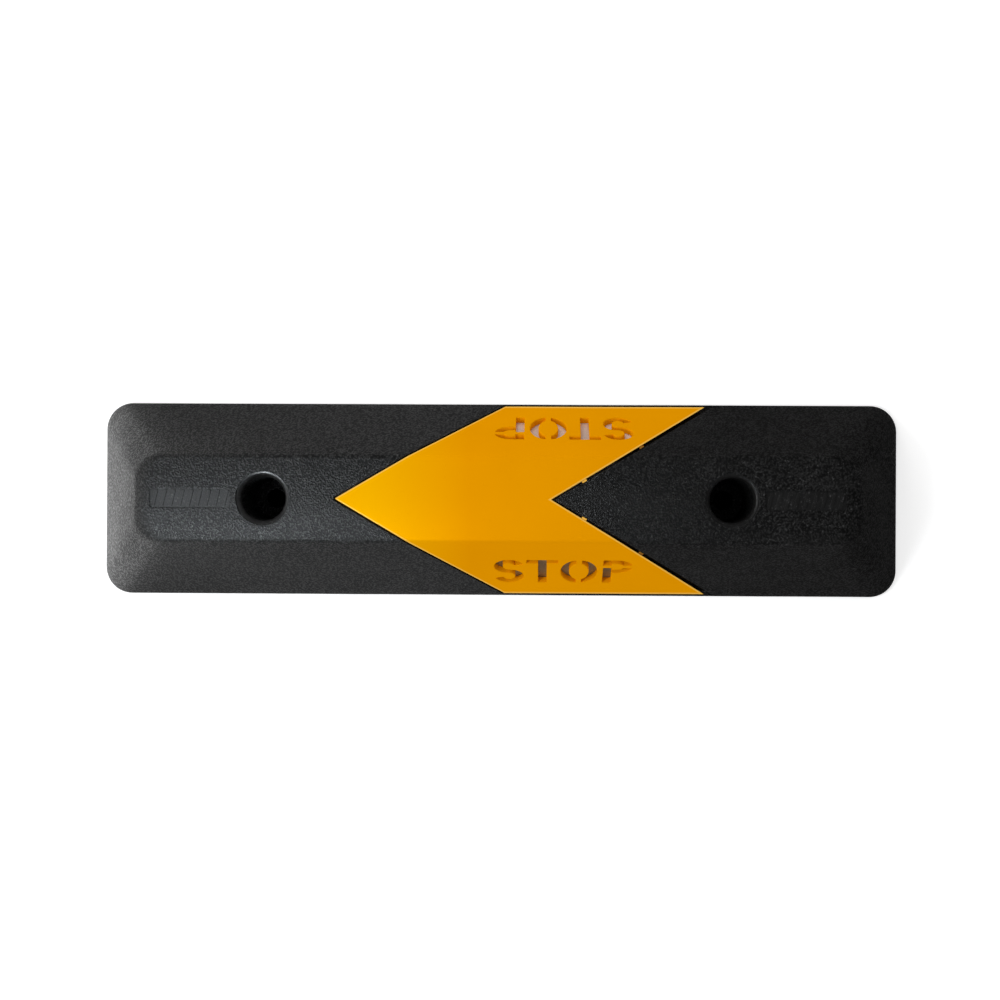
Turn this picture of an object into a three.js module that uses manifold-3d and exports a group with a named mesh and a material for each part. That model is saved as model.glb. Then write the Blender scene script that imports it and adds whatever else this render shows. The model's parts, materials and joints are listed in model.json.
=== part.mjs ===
// Parking wheel stop: a hollow moulded rubber bar with a snapped-in chevron insert.
// Units are millimetres. X runs along the bar, Z is up, and the origin is at the centre of its base.

import * as THREE from 'three';
import { mergeVertices } from 'three/addons/utils/BufferGeometryUtils.js';
import Module from 'manifold-3d';

const wasm = await Module();
wasm.setup();

// ---- Driving dimensions ------------------------------------------------------------------------

// Bar
const LENGTH = 600;
const WIDTH = 145;
const HEIGHT = 100;
const FOOT_HEIGHT = 5; // upright band round the base, below the slopes
const SHOULDER_RUN = 41.5; // plan width of a long slope
const SHOULDER_HEIGHT = 97; // height at which a long slope meets the crowned top
const CORNER_RADIUS = 20; // plan radius of the four hips
const SIDE_FILLET = 6; // between the long slopes and the top
const END_FILLET = 15; // between the end slopes and the top

// Hollow underside
const WALL = 13;
const CEILING_HEIGHT = 84;
const RIB_THICKNESS = 8;
const CAVITY_CORNER_RADIUS = 9;

// Anchor holes
const HOLE_OFFSET = 167.4; // from the middle of the bar
const BORE_RADIUS_TOP = 16;
const BORE_RADIUS_FLOOR = 15;
const BORE_FLOOR_HEIGHT = 25;
const RIM_RADIUS = 19.2;
const RIM_HEIGHT = 98.3;
const RIM_DEPTH = 4;
const ANCHOR_RADIUS = 7;
const BOSS_RADIUS = 28;

// Chevron insert
const INSERT_THICKNESS = 4.5;
const INSERT_FOOT_HEIGHT = 8; // lower edge of both wings
const TIP_X = -116; // leading point, on the top
const TIP_END_X = 4.5; // leading edge, at the foot of a wing
const NOTCH_X = 38.6; // inner point of the trailing edge, on the top
const NOTCH_END_X = 155.5; // trailing edge, at the foot of a wing
const TIP_RADIUS = 0.8;
const SEAM = 1.1; // open joint round the insert
const TRAILING_SEAM = 3; // the same joint at the foot of the trailing edges, its widest place
const FIT_GAP = 0.3; // clearance between pieces that rest on each other

// Snap hooks under the insert: place of each pair, and the size of a hook
const HOOK_PAIRS = [{ x: -76, y: 10 }, { x: -28, y: 14 }, { x: 28, y: 14 }];
const HOOK_WIDTH = 10;
const HOOK_THICKNESS = 3;
const HOOK_FOOT_HEIGHT = 79;
const BARB_REACH = 1.6;

// Edge lugs on the insert's trailing edges: distance from the centre line, and size
const LUG_WIDTH = 3.6;
const LUG_REACH = 1.5;
const LUGS = [
  { y: 14.1, top: 1.2 }, // top is its depth below the surface
  { y: 39.4, top: 2.4 },
];
const LUG_BOTTOM = 3.8; // depth of its underside below the surface
const LUG_CLEARANCE = 0.4;

// Stencil letters
const LETTER_HEIGHT = 43;
const LETTER_FOOT_HEIGHT = 28.5; // height above the ground of the letters' lower edge
const LETTER_MIDDLE_X = 48;
const STROKE = 6.2;
const BRIDGE = 4.3; // uncut web that holds a letter's middle
const LETTERS = [
  { glyph: letterS, width: 21.5, gapAfter: 2.3 },
  { glyph: letterT, width: 23, gapAfter: 1.9 },
  { glyph: letterO, width: 27, gapAfter: 4.2 },
  { glyph: letterP, width: 21.5, gapAfter: 0 },
];

// Reflective strips
const STRIP_THICKNESS = 0.6;
const STRIP_MARGIN = 2.5; // round the letters

// Ribbed grip panels on the top, outside the anchor holes
const PANEL_START = 191; // from the middle of the bar
const PANEL_LENGTH = 57;
const PANEL_WIDTH = 14;
const PANEL_HEIGHT = 99;
const PANEL_BARS = 9;
const PANEL_BAR_WIDTH = 2.6;
const PANEL_BAR_HEIGHT = 0.6;
const PANEL_LEAN = 3; // sideways lean of each bar

// ---- Derived dimensions ------------------------------------------------------------------------

const HALF_LENGTH = LENGTH / 2;
const HALF_WIDTH = WIDTH / 2;
const SLOPE = (SHOULDER_HEIGHT - FOOT_HEIGHT) / SHOULDER_RUN;
const SLOPE_ANGLE = Math.atan(SLOPE);
const SHOULDER_Y = HALF_WIDTH - SHOULDER_RUN;
const CROWN_RISE = HEIGHT - SHOULDER_HEIGHT;
const CROWN_RADIUS = (SHOULDER_Y ** 2 + CROWN_RISE ** 2) / (2 * CROWN_RISE);
const RECESS_DEPTH = INSERT_THICKNESS + FIT_GAP;
const WING_FOOT_Y = HALF_WIDTH - (INSERT_FOOT_HEIGHT - FOOT_HEIGHT) / SLOPE;
const LEADING_SLOPE = (TIP_END_X - TIP_X) / WING_FOOT_Y;
const TRAILING_SLOPE = (NOTCH_END_X - NOTCH_X) / WING_FOOT_Y;
const ROW_WIDTH = LETTERS.reduce((sum, letter) => sum + letter.width + letter.gapAfter, 0);

// ---- Helpers: meshes to solids and back --------------------------------------------------------

function solid(geometry) {
  const bare = geometry.clone();
  bare.deleteAttribute('normal');
  bare.deleteAttribute('uv');
  const merged = mergeVertices(bare, 1e-4);
  return new wasm.Manifold(new wasm.Mesh({
    numProp: 3,
    vertProperties: new Float32Array(merged.attributes.position.array),
    triVerts: new Uint32Array(merged.index.array),
  }));
}

function union(solids) {
  return solids.reduce((sum, each) => sum.add(each));
}

function namedMesh(name, shape, material) {
  const { vertProperties, triVerts } = shape.getMesh();
  const geometry = new THREE.BufferGeometry();
  geometry.setAttribute('position', new THREE.BufferAttribute(vertProperties, 3));
  geometry.setIndex(new THREE.BufferAttribute(triVerts, 1));
  geometry.computeVertexNormals();
  const mesh = new THREE.Mesh(geometry, material);
  mesh.name = name;
  return mesh;
}

// ---- Helpers: basic solids ---------------------------------------------------------------------

function box(width, depth, height, x, y, z) {
  return solid(new THREE.BoxGeometry(width, depth, height).translate(x, y, z));
}

// A solid of revolution about a vertical axis through (x, y), from [radius, height] pairs.
function turned(profile, x, y, segments = 48) {
  const points = profile.map(([radius, height]) => new THREE.Vector2(radius, height));
  const geometry = new THREE.LatheGeometry(points, segments);
  return solid(geometry.rotateX(Math.PI / 2).translate(x, y, 0));
}

// An outline drawn across the bar (y, z), extruded along it from a place on X.
function alongBar(points, start, length) {
  const geometry = new THREE.ExtrudeGeometry(new THREE.Shape(points), {
    depth: length,
    bevelEnabled: false,
  });
  const turn = new THREE.Matrix4().makeBasis(
    new THREE.Vector3(0, 1, 0),
    new THREE.Vector3(0, 0, 1),
    new THREE.Vector3(1, 0, 0),
  );
  return solid(geometry.applyMatrix4(turn).translate(start, 0, 0));
}

// An outline in plan, extruded from one height to another.
function column(points, low, high) {
  const geometry = new THREE.ExtrudeGeometry(new THREE.Shape(points), {
    depth: high - low,
    bevelEnabled: false,
  });
  return solid(geometry.translate(0, 0, low));
}

// Rounds one corner of an outline with an arc of the given radius.
function roundedCorner(before, corner, after, radius, steps = 6) {
  const back = before.clone().sub(corner).normalize();
  const ahead = after.clone().sub(corner).normalize();
  const half = Math.acos(back.dot(ahead)) / 2;
  const bisector = back.clone().add(ahead).normalize();
  const centre = corner.clone().addScaledVector(bisector, radius / Math.sin(half));
  const start = corner.clone().addScaledVector(back, radius / Math.tan(half)).sub(centre);
  const turn = Math.sign(back.cross(ahead)) * (Math.PI - 2 * half);
  const arc = [];
  for (let i = 0; i <= steps; i += 1) {
    arc.push(start.clone().rotateAround(new THREE.Vector2(), (-turn * i) / steps).add(centre));
  }
  return arc;
}

// A rounded rectangle centred on the origin, with its end edges split for the crown.
function roundedRectangle(halfLength, halfWidth, radius) {
  const CORNER_STEPS = 8;
  const END_STEPS = 8;
  const points = [];
  for (let corner = 0; corner < 4; corner += 1) {
    const signX = corner === 0 || corner === 3 ? 1 : -1;
    const signY = corner < 2 ? 1 : -1;
    const centreX = signX * (halfLength - radius);
    const centreY = signY * (halfWidth - radius);
    for (let i = 0; i <= CORNER_STEPS; i += 1) {
      const angle = (Math.PI / 2) * (corner + i / CORNER_STEPS);
      points.push(new THREE.Vector2(
        centreX + radius * Math.cos(angle),
        centreY + radius * Math.sin(angle),
      ));
    }
    if (corner % 2 === 1) {
      for (let i = 1; i < END_STEPS; i += 1) {
        const y = centreY * (1 - (2 * i) / END_STEPS);
        points.push(new THREE.Vector2(signX * halfLength, y));
      }
    }
  }
  return points;
}

// A closed solid through a stack of rings with equal numbers of points.
function loft(rings) {
  const count = rings[0].length;
  const positions = rings.flat().flatMap((point) => [point.x, point.y, point.z]);
  const triangles = [];
  for (let ring = 0; ring < rings.length - 1; ring += 1) {
    for (let i = 0; i < count; i += 1) {
      const a = ring * count + i;
      const b = ring * count + ((i + 1) % count);
      triangles.push(a, b, b + count, a, b + count, a + count);
    }
  }
  const capOf = (ring) => THREE.ShapeUtils.triangulateShape(
    ring.map((point) => new THREE.Vector2(point.x, point.y)),
    [],
  );
  for (const [a, b, c] of capOf(rings[0])) {
    triangles.push(a, c, b);
  }
  const top = (rings.length - 1) * count;
  for (const [a, b, c] of capOf(rings.at(-1))) {
    triangles.push(top + a, top + b, top + c);
  }
  const geometry = new THREE.BufferGeometry();
  geometry.setAttribute('position', new THREE.Float32BufferAttribute(positions, 3));
  geometry.setIndex(triangles);
  return solid(geometry);
}

// ---- Surface of the bar ------------------------------------------------------------------------

function crownHeight(y) {
  return HEIGHT - CROWN_RADIUS + Math.sqrt(CROWN_RADIUS ** 2 - y ** 2);
}

// Height of the surface at a plan distance in from the base outline. The slope runs into the
// crowned top through an arc of the given radius.
function surfaceHeight(inFromEdge, y, fillet) {
  const top = crownHeight(y);
  const meeting = (top - FOOT_HEIGHT) / SLOPE;
  const tangent = fillet * Math.tan(SLOPE_ANGLE / 2);
  const short = meeting + tangent - inFromEdge;
  if (short <= 0) {
    return top;
  }
  if (inFromEdge <= meeting - tangent * Math.cos(SLOPE_ANGLE)) {
    return FOOT_HEIGHT + SLOPE * inFromEdge;
  }
  return top - fillet + Math.sqrt(fillet ** 2 - short ** 2);
}

// The whole outside, as rings that step in from the base outline to the middle of the top.
function barOutside() {
  const FILLET_START = 38.5;
  const FILLET_END = 53;
  const FILLET_STEPS = 12;
  const steps = [0];
  for (let i = 0; i <= FILLET_STEPS; i += 1) {
    steps.push(FILLET_START + ((FILLET_END - FILLET_START) * i) / FILLET_STEPS);
  }
  steps.push(60, 67, HALF_WIDTH - 1);
  const base = roundedRectangle(HALF_LENGTH, HALF_WIDTH, CORNER_RADIUS);
  const rings = [base.map((point) => new THREE.Vector3(point.x, point.y, 0))];
  for (const step of steps) {
    const halfLength = HALF_LENGTH - step;
    const halfWidth = HALF_WIDTH - step;
    const radius = Math.min(CORNER_RADIUS, halfWidth * 0.95);
    rings.push(roundedRectangle(halfLength, halfWidth, radius).map((point) => {
      const beyondX = Math.max(Math.abs(point.x) - (halfLength - radius), 0);
      const beyondY = Math.max(Math.abs(point.y) - (halfWidth - radius), 0);
      const endShare = beyondX ** 2 / Math.max(beyondX ** 2 + beyondY ** 2, 1e-9);
      const fillet = THREE.MathUtils.lerp(SIDE_FILLET, END_FILLET, endShare);
      return new THREE.Vector3(point.x, point.y, surfaceHeight(step, point.y, fillet));
    }));
  }
  return loft(rings);
}

// Half of the cross-section's surface, from the foot band up to the middle of the top.
function halfProfile() {
  const tangent = SIDE_FILLET * Math.tan(SLOPE_ANGLE / 2);
  const start = SHOULDER_RUN - tangent * Math.cos(SLOPE_ANGLE);
  const end = SHOULDER_RUN + tangent;
  const FILLET_STEPS = 6;
  const CROWN_STEPS = 6;
  const steps = [0];
  for (let i = 0; i <= FILLET_STEPS; i += 1) {
    steps.push(start + ((end - start) * i) / FILLET_STEPS);
  }
  for (let i = 1; i <= CROWN_STEPS; i += 1) {
    steps.push(end + ((HALF_WIDTH - end) * i) / CROWN_STEPS);
  }
  return steps.map((step) => {
    const y = HALF_WIDTH - step;
    return new THREE.Vector2(y, surfaceHeight(step, y, SIDE_FILLET));
  });
}

// Everything below the surface lowered square to itself by a depth, as a solid along the bar.
function profileBar(depth) {
  const surface = halfProfile();
  const lowered = surface.map((point, i) => {
    const before = surface[Math.max(i - 1, 0)];
    const after = surface[i + 1] ?? new THREE.Vector2(-before.x, before.y);
    const along = after.clone().sub(before).normalize();
    return point.clone().add(new THREE.Vector2(-along.y, along.x).multiplyScalar(depth));
  });
  const BELOW = 20;
  const foot = new THREE.Vector2(lowered[0].x + BELOW / SLOPE, lowered[0].y - BELOW);
  const right = [foot, ...lowered];
  const left = right.slice(0, -1).reverse().map((point) => new THREE.Vector2(-point.x, point.y));
  return alongBar([...right, ...left], -HALF_LENGTH, LENGTH);
}

// The layer between two depths below the surface, within a plan outline and above a height.
function layer(outline, footHeight, outerDepth, innerDepth) {
  return column(outline, footHeight, HEIGHT + 20)
    .intersect(profileBar(outerDepth))
    .subtract(profileBar(innerDepth));
}

// ---- Side faces --------------------------------------------------------------------------------

// Places a solid drawn on a long slope: u along the bar, v up the slope and w out of the face,
// from the lower left end of the letters as they are read. The rear is the front turned half round.
function ontoSlope(shape, rear) {
  const y = -(HALF_WIDTH - (LETTER_FOOT_HEIGHT - FOOT_HEIGHT) / SLOPE);
  const up = new THREE.Vector3(0, Math.cos(SLOPE_ANGLE), Math.sin(SLOPE_ANGLE));
  const along = new THREE.Vector3(1, 0, 0);
  const placing = new THREE.Matrix4().makeBasis(along, up, along.clone().cross(up));
  placing.setPosition(-ROW_WIDTH / 2, y, LETTER_FOOT_HEIGHT);
  const turn = new THREE.Matrix4().makeRotationZ(rear ? Math.PI : 0);
  turn.setPosition(LETTER_MIDDLE_X, 0, 0);
  return shape.transform(turn.multiply(placing).elements);
}

// ---- Stencil letters ---------------------------------------------------------------------------

const CUT_ABOVE = 3;
const CUT_DEPTH = INSERT_THICKNESS + 3;

function cutter(shape) {
  const geometry = new THREE.ExtrudeGeometry(shape, {
    depth: CUT_ABOVE + CUT_DEPTH,
    bevelEnabled: false,
    curveSegments: 14,
  });
  return solid(geometry.translate(0, 0, -CUT_DEPTH));
}

function rectangle(left, bottom, right, top) {
  return new THREE.Shape([
    new THREE.Vector2(left, bottom),
    new THREE.Vector2(right, bottom),
    new THREE.Vector2(right, top),
    new THREE.Vector2(left, top),
  ]);
}

// An outline that follows a centre line at half a stroke on each side.
function strokeOutline(line) {
  const sides = [[], []];
  line.forEach((point, i) => {
    const before = line[Math.max(i - 1, 0)];
    const after = line[Math.min(i + 1, line.length - 1)];
    const along = after.clone().sub(before).normalize();
    const across = new THREE.Vector2(-along.y, along.x).multiplyScalar(STROKE / 2);
    sides[0].push(point.clone().sub(across));
    sides[1].push(point.clone().add(across));
  });
  return new THREE.Shape([...sides[0], ...sides[1].reverse()]);
}

function letterS(width) {
  const radiusX = (width - STROKE) / 2;
  const radiusY = (LETTER_HEIGHT - STROKE) / 4;
  const END_ANGLE = 0.3;
  const STEPS = 16;
  const line = [];
  const bowl = (centreY, from, to) => {
    for (let i = 0; i <= STEPS; i += 1) {
      const angle = THREE.MathUtils.lerp(from, to, i / STEPS);
      line.push(new THREE.Vector2(
        width / 2 + radiusX * Math.cos(angle),
        centreY + radiusY * Math.sin(angle),
      ));
    }
  };
  bowl(LETTER_HEIGHT / 2 + radiusY, END_ANGLE, 1.5 * Math.PI);
  line.pop();
  bowl(LETTER_HEIGHT / 2 - radiusY, Math.PI / 2, END_ANGLE - Math.PI);
  return cutter(strokeOutline(line));
}

function letterT(width) {
  const bar = cutter(rectangle(0, LETTER_HEIGHT - STROKE, width, LETTER_HEIGHT));
  const left = (width - STROKE) / 2;
  const stem = cutter(rectangle(left, 0, left + STROKE, LETTER_HEIGHT - STROKE / 2));
  return bar.add(stem);
}

function letterO(width) {
  const middleX = width / 2;
  const middleY = LETTER_HEIGHT / 2;
  const ring = new THREE.Shape();
  ring.absellipse(middleX, middleY, middleX, middleY, 0, 2 * Math.PI, false);
  const hole = new THREE.Path();
  hole.absellipse(middleX, middleY, middleX - STROKE, middleY - STROKE, 0, 2 * Math.PI, true);
  ring.holes.push(hole);
  const webs = rectangle(middleX - BRIDGE / 2, -1, middleX + BRIDGE / 2, LETTER_HEIGHT + 1);
  return cutter(ring).subtract(cutter(webs));
}

function letterP(width) {
  const radius = 12;
  const middleY = LETTER_HEIGHT - radius;
  const bowlX = width - radius;
  const outline = new THREE.Shape();
  outline.moveTo(0, 0);
  outline.lineTo(STROKE, 0);
  outline.lineTo(STROKE, middleY - radius);
  outline.absarc(bowlX, middleY, radius, -Math.PI / 2, Math.PI / 2, false);
  outline.lineTo(0, LETTER_HEIGHT);
  const counter = new THREE.Path();
  counter.moveTo(STROKE, middleY + radius - STROKE);
  counter.absarc(bowlX, middleY, radius - STROKE, Math.PI / 2, -Math.PI / 2, true);
  counter.lineTo(STROKE, middleY - radius + STROKE);
  outline.holes.push(counter);
  const web = rectangle(-1, middleY - BRIDGE / 2, width + 1, middleY + BRIDGE / 2);
  return cutter(outline).subtract(cutter(web));
}

// The whole word on one wing.
function wordCutter(rear) {
  let x = 0;
  const letters = LETTERS.map(({ glyph, width, gapAfter }) => {
    const letter = glyph(width).translate([x, 0, 0]);
    x += width + gapAfter;
    return letter;
  });
  return ontoSlope(union(letters), rear);
}

// ---- Chevron -----------------------------------------------------------------------------------

function trailingEdgeX(y) {
  return NOTCH_X + TRAILING_SLOPE * Math.abs(y);
}

// The chevron in plan, grown outwards all round: by trailingGrowth at the foot of the trailing
// edges. It runs past both long sides of the bar.
function chevronOutline(growth, trailingGrowth = growth) {
  const PAST_SIDE = 90;
  const tip = TIP_X - growth * Math.hypot(1, LEADING_SLOPE);
  const notch = NOTCH_X + growth * Math.hypot(1, TRAILING_SLOPE);
  const wingEnd = NOTCH_END_X + trailingGrowth * Math.hypot(1, TRAILING_SLOPE);
  const trailingSlope = (wingEnd - notch) / WING_FOOT_Y;
  const leading = new THREE.Vector2(tip + LEADING_SLOPE * PAST_SIDE, PAST_SIDE);
  const trailing = new THREE.Vector2(notch + trailingSlope * PAST_SIDE, PAST_SIDE);
  const mirror = (point) => new THREE.Vector2(point.x, -point.y);
  const tipPoint = new THREE.Vector2(tip, 0);
  return [
    ...roundedCorner(leading, tipPoint, mirror(leading), TIP_RADIUS + growth),
    mirror(leading),
    mirror(trailing),
    new THREE.Vector2(notch, 0),
    trailing,
    leading,
  ];
}

// A small plan rectangle that stands out of a trailing edge, grown for clearance.
function lugOutline(y, growth) {
  const root = new THREE.Vector2(trailingEdgeX(y), y);
  const along = new THREE.Vector2(TRAILING_SLOPE, Math.sign(y)).normalize();
  const out = new THREE.Vector2(1, -Math.sign(y) * TRAILING_SLOPE).normalize();
  const corner = (a, b) => root.clone().addScaledVector(along, a).addScaledVector(out, b);
  const half = LUG_WIDTH / 2 + growth;
  const reach = LUG_REACH + growth;
  return [corner(-half, -1), corner(half, -1), corner(half, reach), corner(-half, reach)];
}

const lugPlaces = LUGS.flatMap(({ y, top }) => [{ y, top }, { y: -y, top }]);
const hookPlaces = HOOK_PAIRS.flatMap(({ x, y }) => [{ x, y }, { x, y: -y }]);

// A leg that hangs from the insert, with a barb on its outer face that catches under the ceiling.
function hook({ x, y }) {
  const side = Math.sign(y);
  const top = crownHeight(y) - INSERT_THICKNESS + 1;
  const height = top - HOOK_FOOT_HEIGHT;
  const leg = box(HOOK_WIDTH, HOOK_THICKNESS, height, x, y, HOOK_FOOT_HEIGHT + height / 2);
  const face = y + (side * HOOK_THICKNESS) / 2;
  const barbTop = CEILING_HEIGHT - FIT_GAP;
  const barb = alongBar([
    new THREE.Vector2(face - side, HOOK_FOOT_HEIGHT),
    new THREE.Vector2(face, HOOK_FOOT_HEIGHT),
    new THREE.Vector2(face + side * BARB_REACH, barbTop - 1),
    new THREE.Vector2(face + side * BARB_REACH, barbTop),
    new THREE.Vector2(face - side, barbTop),
  ], x - HOOK_WIDTH / 2, HOOK_WIDTH);
  return leg.add(barb);
}

function chevronInsert() {
  const foot = INSERT_FOOT_HEIGHT;
  const shell = layer(chevronOutline(0), foot, 0, INSERT_THICKNESS);
  const lugs = lugPlaces.map(({ y, top }) => layer(lugOutline(y, 0), foot, top, LUG_BOTTOM));
  return union([shell, ...lugs, ...hookPlaces.map(hook)])
    .subtract(wordCutter(false))
    .subtract(wordCutter(true));
}

// ---- Reflective strips -------------------------------------------------------------------------

// The strip behind one word, or with a growth the pocket that it lies in.
function strip(rear, growth) {
  const length = ROW_WIDTH + 2 * (STRIP_MARGIN + growth);
  const height = LETTER_HEIGHT + 2 * (STRIP_MARGIN + growth);
  const front = RECESS_DEPTH - growth;
  const back = RECESS_DEPTH + STRIP_THICKNESS + growth;
  const middle = [ROW_WIDTH / 2, LETTER_HEIGHT / 2, -(front + back) / 2];
  return ontoSlope(box(length, height, back - front, ...middle), rear);
}

// ---- Body --------------------------------------------------------------------------------------

// The hollow underside, with its ribs and anchor bosses left standing.
function hollow() {
  const sideWall = WALL / Math.sin(SLOPE_ANGLE);
  const ringAt = (height) => {
    const run = sideWall + (height - FOOT_HEIGHT) / SLOPE;
    return roundedRectangle(HALF_LENGTH - run, HALF_WIDTH - run, CAVITY_CORNER_RADIUS)
      .map((point) => new THREE.Vector3(point.x, point.y, height));
  };
  const room = loft([ringAt(-2), ringAt(CEILING_HEIGHT)]);
  const ribPitch = HOLE_OFFSET / 3;
  const ribs = [box(LENGTH, RIB_THICKNESS, HEIGHT, 0, 0, HEIGHT / 2)];
  for (let i = -4; i <= 4; i += 1) {
    ribs.push(box(RIB_THICKNESS, WIDTH, HEIGHT, i * ribPitch, 0, HEIGHT / 2));
  }
  const bosses = [-HOLE_OFFSET, HOLE_OFFSET].map((x) => turned(
    [[0, 0], [BOSS_RADIUS, 0], [BOSS_RADIUS, HEIGHT], [0, HEIGHT]],
    x,
    0,
  ));
  return room.subtract(union([...ribs, ...bosses]));
}

// Counterbored anchor hole with a rounded mouth inside a stepped rim.
function anchorHole(x) {
  const mouth = [];
  const MOUTH_STEPS = 5;
  const roundX = RIM_RADIUS - BORE_RADIUS_TOP;
  for (let i = 0; i <= MOUTH_STEPS; i += 1) {
    const angle = (Math.PI / 2) * (i / MOUTH_STEPS);
    mouth.push([
      BORE_RADIUS_TOP + roundX * (1 - Math.cos(angle)),
      RIM_HEIGHT - RIM_DEPTH * (1 - Math.sin(angle)),
    ]);
  }
  return turned([
    [0, -1],
    [ANCHOR_RADIUS, -1],
    [ANCHOR_RADIUS, BORE_FLOOR_HEIGHT],
    [BORE_RADIUS_FLOOR, BORE_FLOOR_HEIGHT],
    ...mouth,
    [RIM_RADIUS, HEIGHT + 1],
    [0, HEIGHT + 1],
  ], x, 0);
}

// Shallow panel with leaning bars left standing in it. side is -1 or 1 along the bar.
function gripPanel(side) {
  const centreX = side * (PANEL_START + PANEL_LENGTH / 2);
  const depth = HEIGHT + 1 - PANEL_HEIGHT;
  const pocket = box(PANEL_LENGTH, PANEL_WIDTH, depth, centreX, 0, PANEL_HEIGHT + depth / 2);
  const pitch = PANEL_LENGTH / PANEL_BARS;
  const halfWidth = PANEL_WIDTH / 2 - 1;
  const bars = [];
  for (let i = 0; i < PANEL_BARS; i += 1) {
    const x = centreX - PANEL_LENGTH / 2 + pitch * (i + 0.5);
    const half = PANEL_BAR_WIDTH / 2;
    bars.push(column([
      new THREE.Vector2(x - PANEL_LEAN / 2 - half, -halfWidth),
      new THREE.Vector2(x - PANEL_LEAN / 2 + half, -halfWidth),
      new THREE.Vector2(x + PANEL_LEAN / 2 + half, halfWidth),
      new THREE.Vector2(x + PANEL_LEAN / 2 - half, halfWidth),
    ], PANEL_HEIGHT - 1, PANEL_HEIGHT + PANEL_BAR_HEIGHT));
  }
  return pocket.subtract(union(bars));
}

function body() {
  const ABOVE = -10;
  const foot = INSERT_FOOT_HEIGHT - SEAM;
  const recess = layer(chevronOutline(SEAM, TRAILING_SEAM), foot, ABOVE, RECESS_DEPTH);
  const lugPockets = lugPlaces.map(({ y }) => layer(
    lugOutline(y, LUG_CLEARANCE),
    foot,
    ABOVE,
    LUG_BOTTOM + FIT_GAP,
  ));
  const hookSlots = hookPlaces.map(({ x, y }) => box(
    HOOK_WIDTH + 2 * FIT_GAP,
    HOOK_THICKNESS + 2 * FIT_GAP,
    HEIGHT - CEILING_HEIGHT + 4,
    x,
    y,
    (HEIGHT + CEILING_HEIGHT) / 2,
  ));
  const cuts = [
    hollow(),
    recess,
    ...lugPockets,
    ...hookSlots,
    strip(false, FIT_GAP),
    strip(true, FIT_GAP),
    anchorHole(-HOLE_OFFSET),
    anchorHole(HOLE_OFFSET),
    gripPanel(-1),
    gripPanel(1),
  ];
  return cuts.reduce((bar, cut) => bar.subtract(cut), barOutside());
}

// ---- Assembly ----------------------------------------------------------------------------------

const rubber = new THREE.MeshStandardMaterial({ color: 0x2a2a2b, roughness: 0.6, metalness: 0 });
const yellowPlastic = new THREE.MeshStandardMaterial({ color: 0xeb9d01, roughness: 0.4, metalness: 0 });
const reflective = new THREE.MeshStandardMaterial({ color: 0xc8c4c4, roughness: 0.3, metalness: 0.4 });

const wheelStop = new THREE.Group();
wheelStop.add(namedMesh('body', body(), rubber));
wheelStop.add(namedMesh('chevron_insert', chevronInsert(), yellowPlastic));
wheelStop.add(namedMesh('reflective_strip_front', strip(false, 0), reflective));
wheelStop.add(namedMesh('reflective_strip_rear', strip(true, 0), reflective));

export default wheelStop;
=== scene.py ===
"""A black rubber parking wheel stop with a yellow chevron insert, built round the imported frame.

The drawing functions work in millimetres; a mesh becomes metres where it is made.
"""

import json
import math

import bmesh
import bpy
import numpy as np
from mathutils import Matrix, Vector, noise
from mathutils.geometry import delaunay_2d_cdt


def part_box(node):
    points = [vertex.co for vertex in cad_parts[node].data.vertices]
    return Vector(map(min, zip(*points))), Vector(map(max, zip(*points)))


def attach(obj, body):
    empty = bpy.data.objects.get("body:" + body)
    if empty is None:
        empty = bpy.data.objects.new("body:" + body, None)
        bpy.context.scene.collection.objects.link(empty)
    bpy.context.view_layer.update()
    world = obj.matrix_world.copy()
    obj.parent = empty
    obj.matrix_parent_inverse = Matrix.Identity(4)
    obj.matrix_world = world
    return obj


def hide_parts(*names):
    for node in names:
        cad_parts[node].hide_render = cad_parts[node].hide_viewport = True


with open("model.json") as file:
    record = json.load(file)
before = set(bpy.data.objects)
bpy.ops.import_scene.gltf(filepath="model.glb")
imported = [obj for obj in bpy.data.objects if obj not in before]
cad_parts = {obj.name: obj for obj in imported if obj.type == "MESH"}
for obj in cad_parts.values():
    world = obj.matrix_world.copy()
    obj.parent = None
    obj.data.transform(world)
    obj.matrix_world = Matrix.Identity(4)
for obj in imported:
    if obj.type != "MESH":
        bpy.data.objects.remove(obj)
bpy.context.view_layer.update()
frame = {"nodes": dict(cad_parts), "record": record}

MM = 0.001

# ---- Sizes from the frame ----

body_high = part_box("body")[1]
insert_low, insert_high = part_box("chevron_insert")
openings = {each["name"]: each for each in frame["record"]["physics"]["openings"]}
right_bore = openings["right_bore"]["box_m"]

HALF_LENGTH = body_high.x / MM
HALF_WIDTH = body_high.y / MM
HEIGHT = body_high.z / MM
HOLE_OFFSET = (right_bore[0][0] + right_bore[1][0]) / 2 / MM
WING_FOOT_Y = insert_high.y / MM
INSERT_FOOT_HEIGHT = round(insert_low.z / MM, 3)
NOTCH_END_X = insert_high.x / MM

# ---- Sizes of the bar ----

FOOT_HEIGHT = 5
SHOULDER_RUN = 41.5
SHOULDER_HEIGHT = 97
CORNER_RADIUS = 20
SIDE_FILLET = 3.5
INNER_FILLET = 6  # the shoulder of the surfaces cut into the bar
END_FILLET = 15
FOOT_EDGE = 0.8  # rounding of the bottom edge

SLOPE = (SHOULDER_HEIGHT - FOOT_HEIGHT) / SHOULDER_RUN
SLOPE_ANGLE = math.atan(SLOPE)
SHOULDER_Y = HALF_WIDTH - SHOULDER_RUN
CROWN_RISE = HEIGHT - SHOULDER_HEIGHT
CROWN_RADIUS = (SHOULDER_Y**2 + CROWN_RISE**2) / (2 * CROWN_RISE)

# Hollow underside
WALL = 13
CEILING_HEIGHT = 84
RIB_THICKNESS = 8
RIB_PITCH = HOLE_OFFSET / 3
CAVITY_CORNER = 9
BOSS_RADIUS = 28

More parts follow.
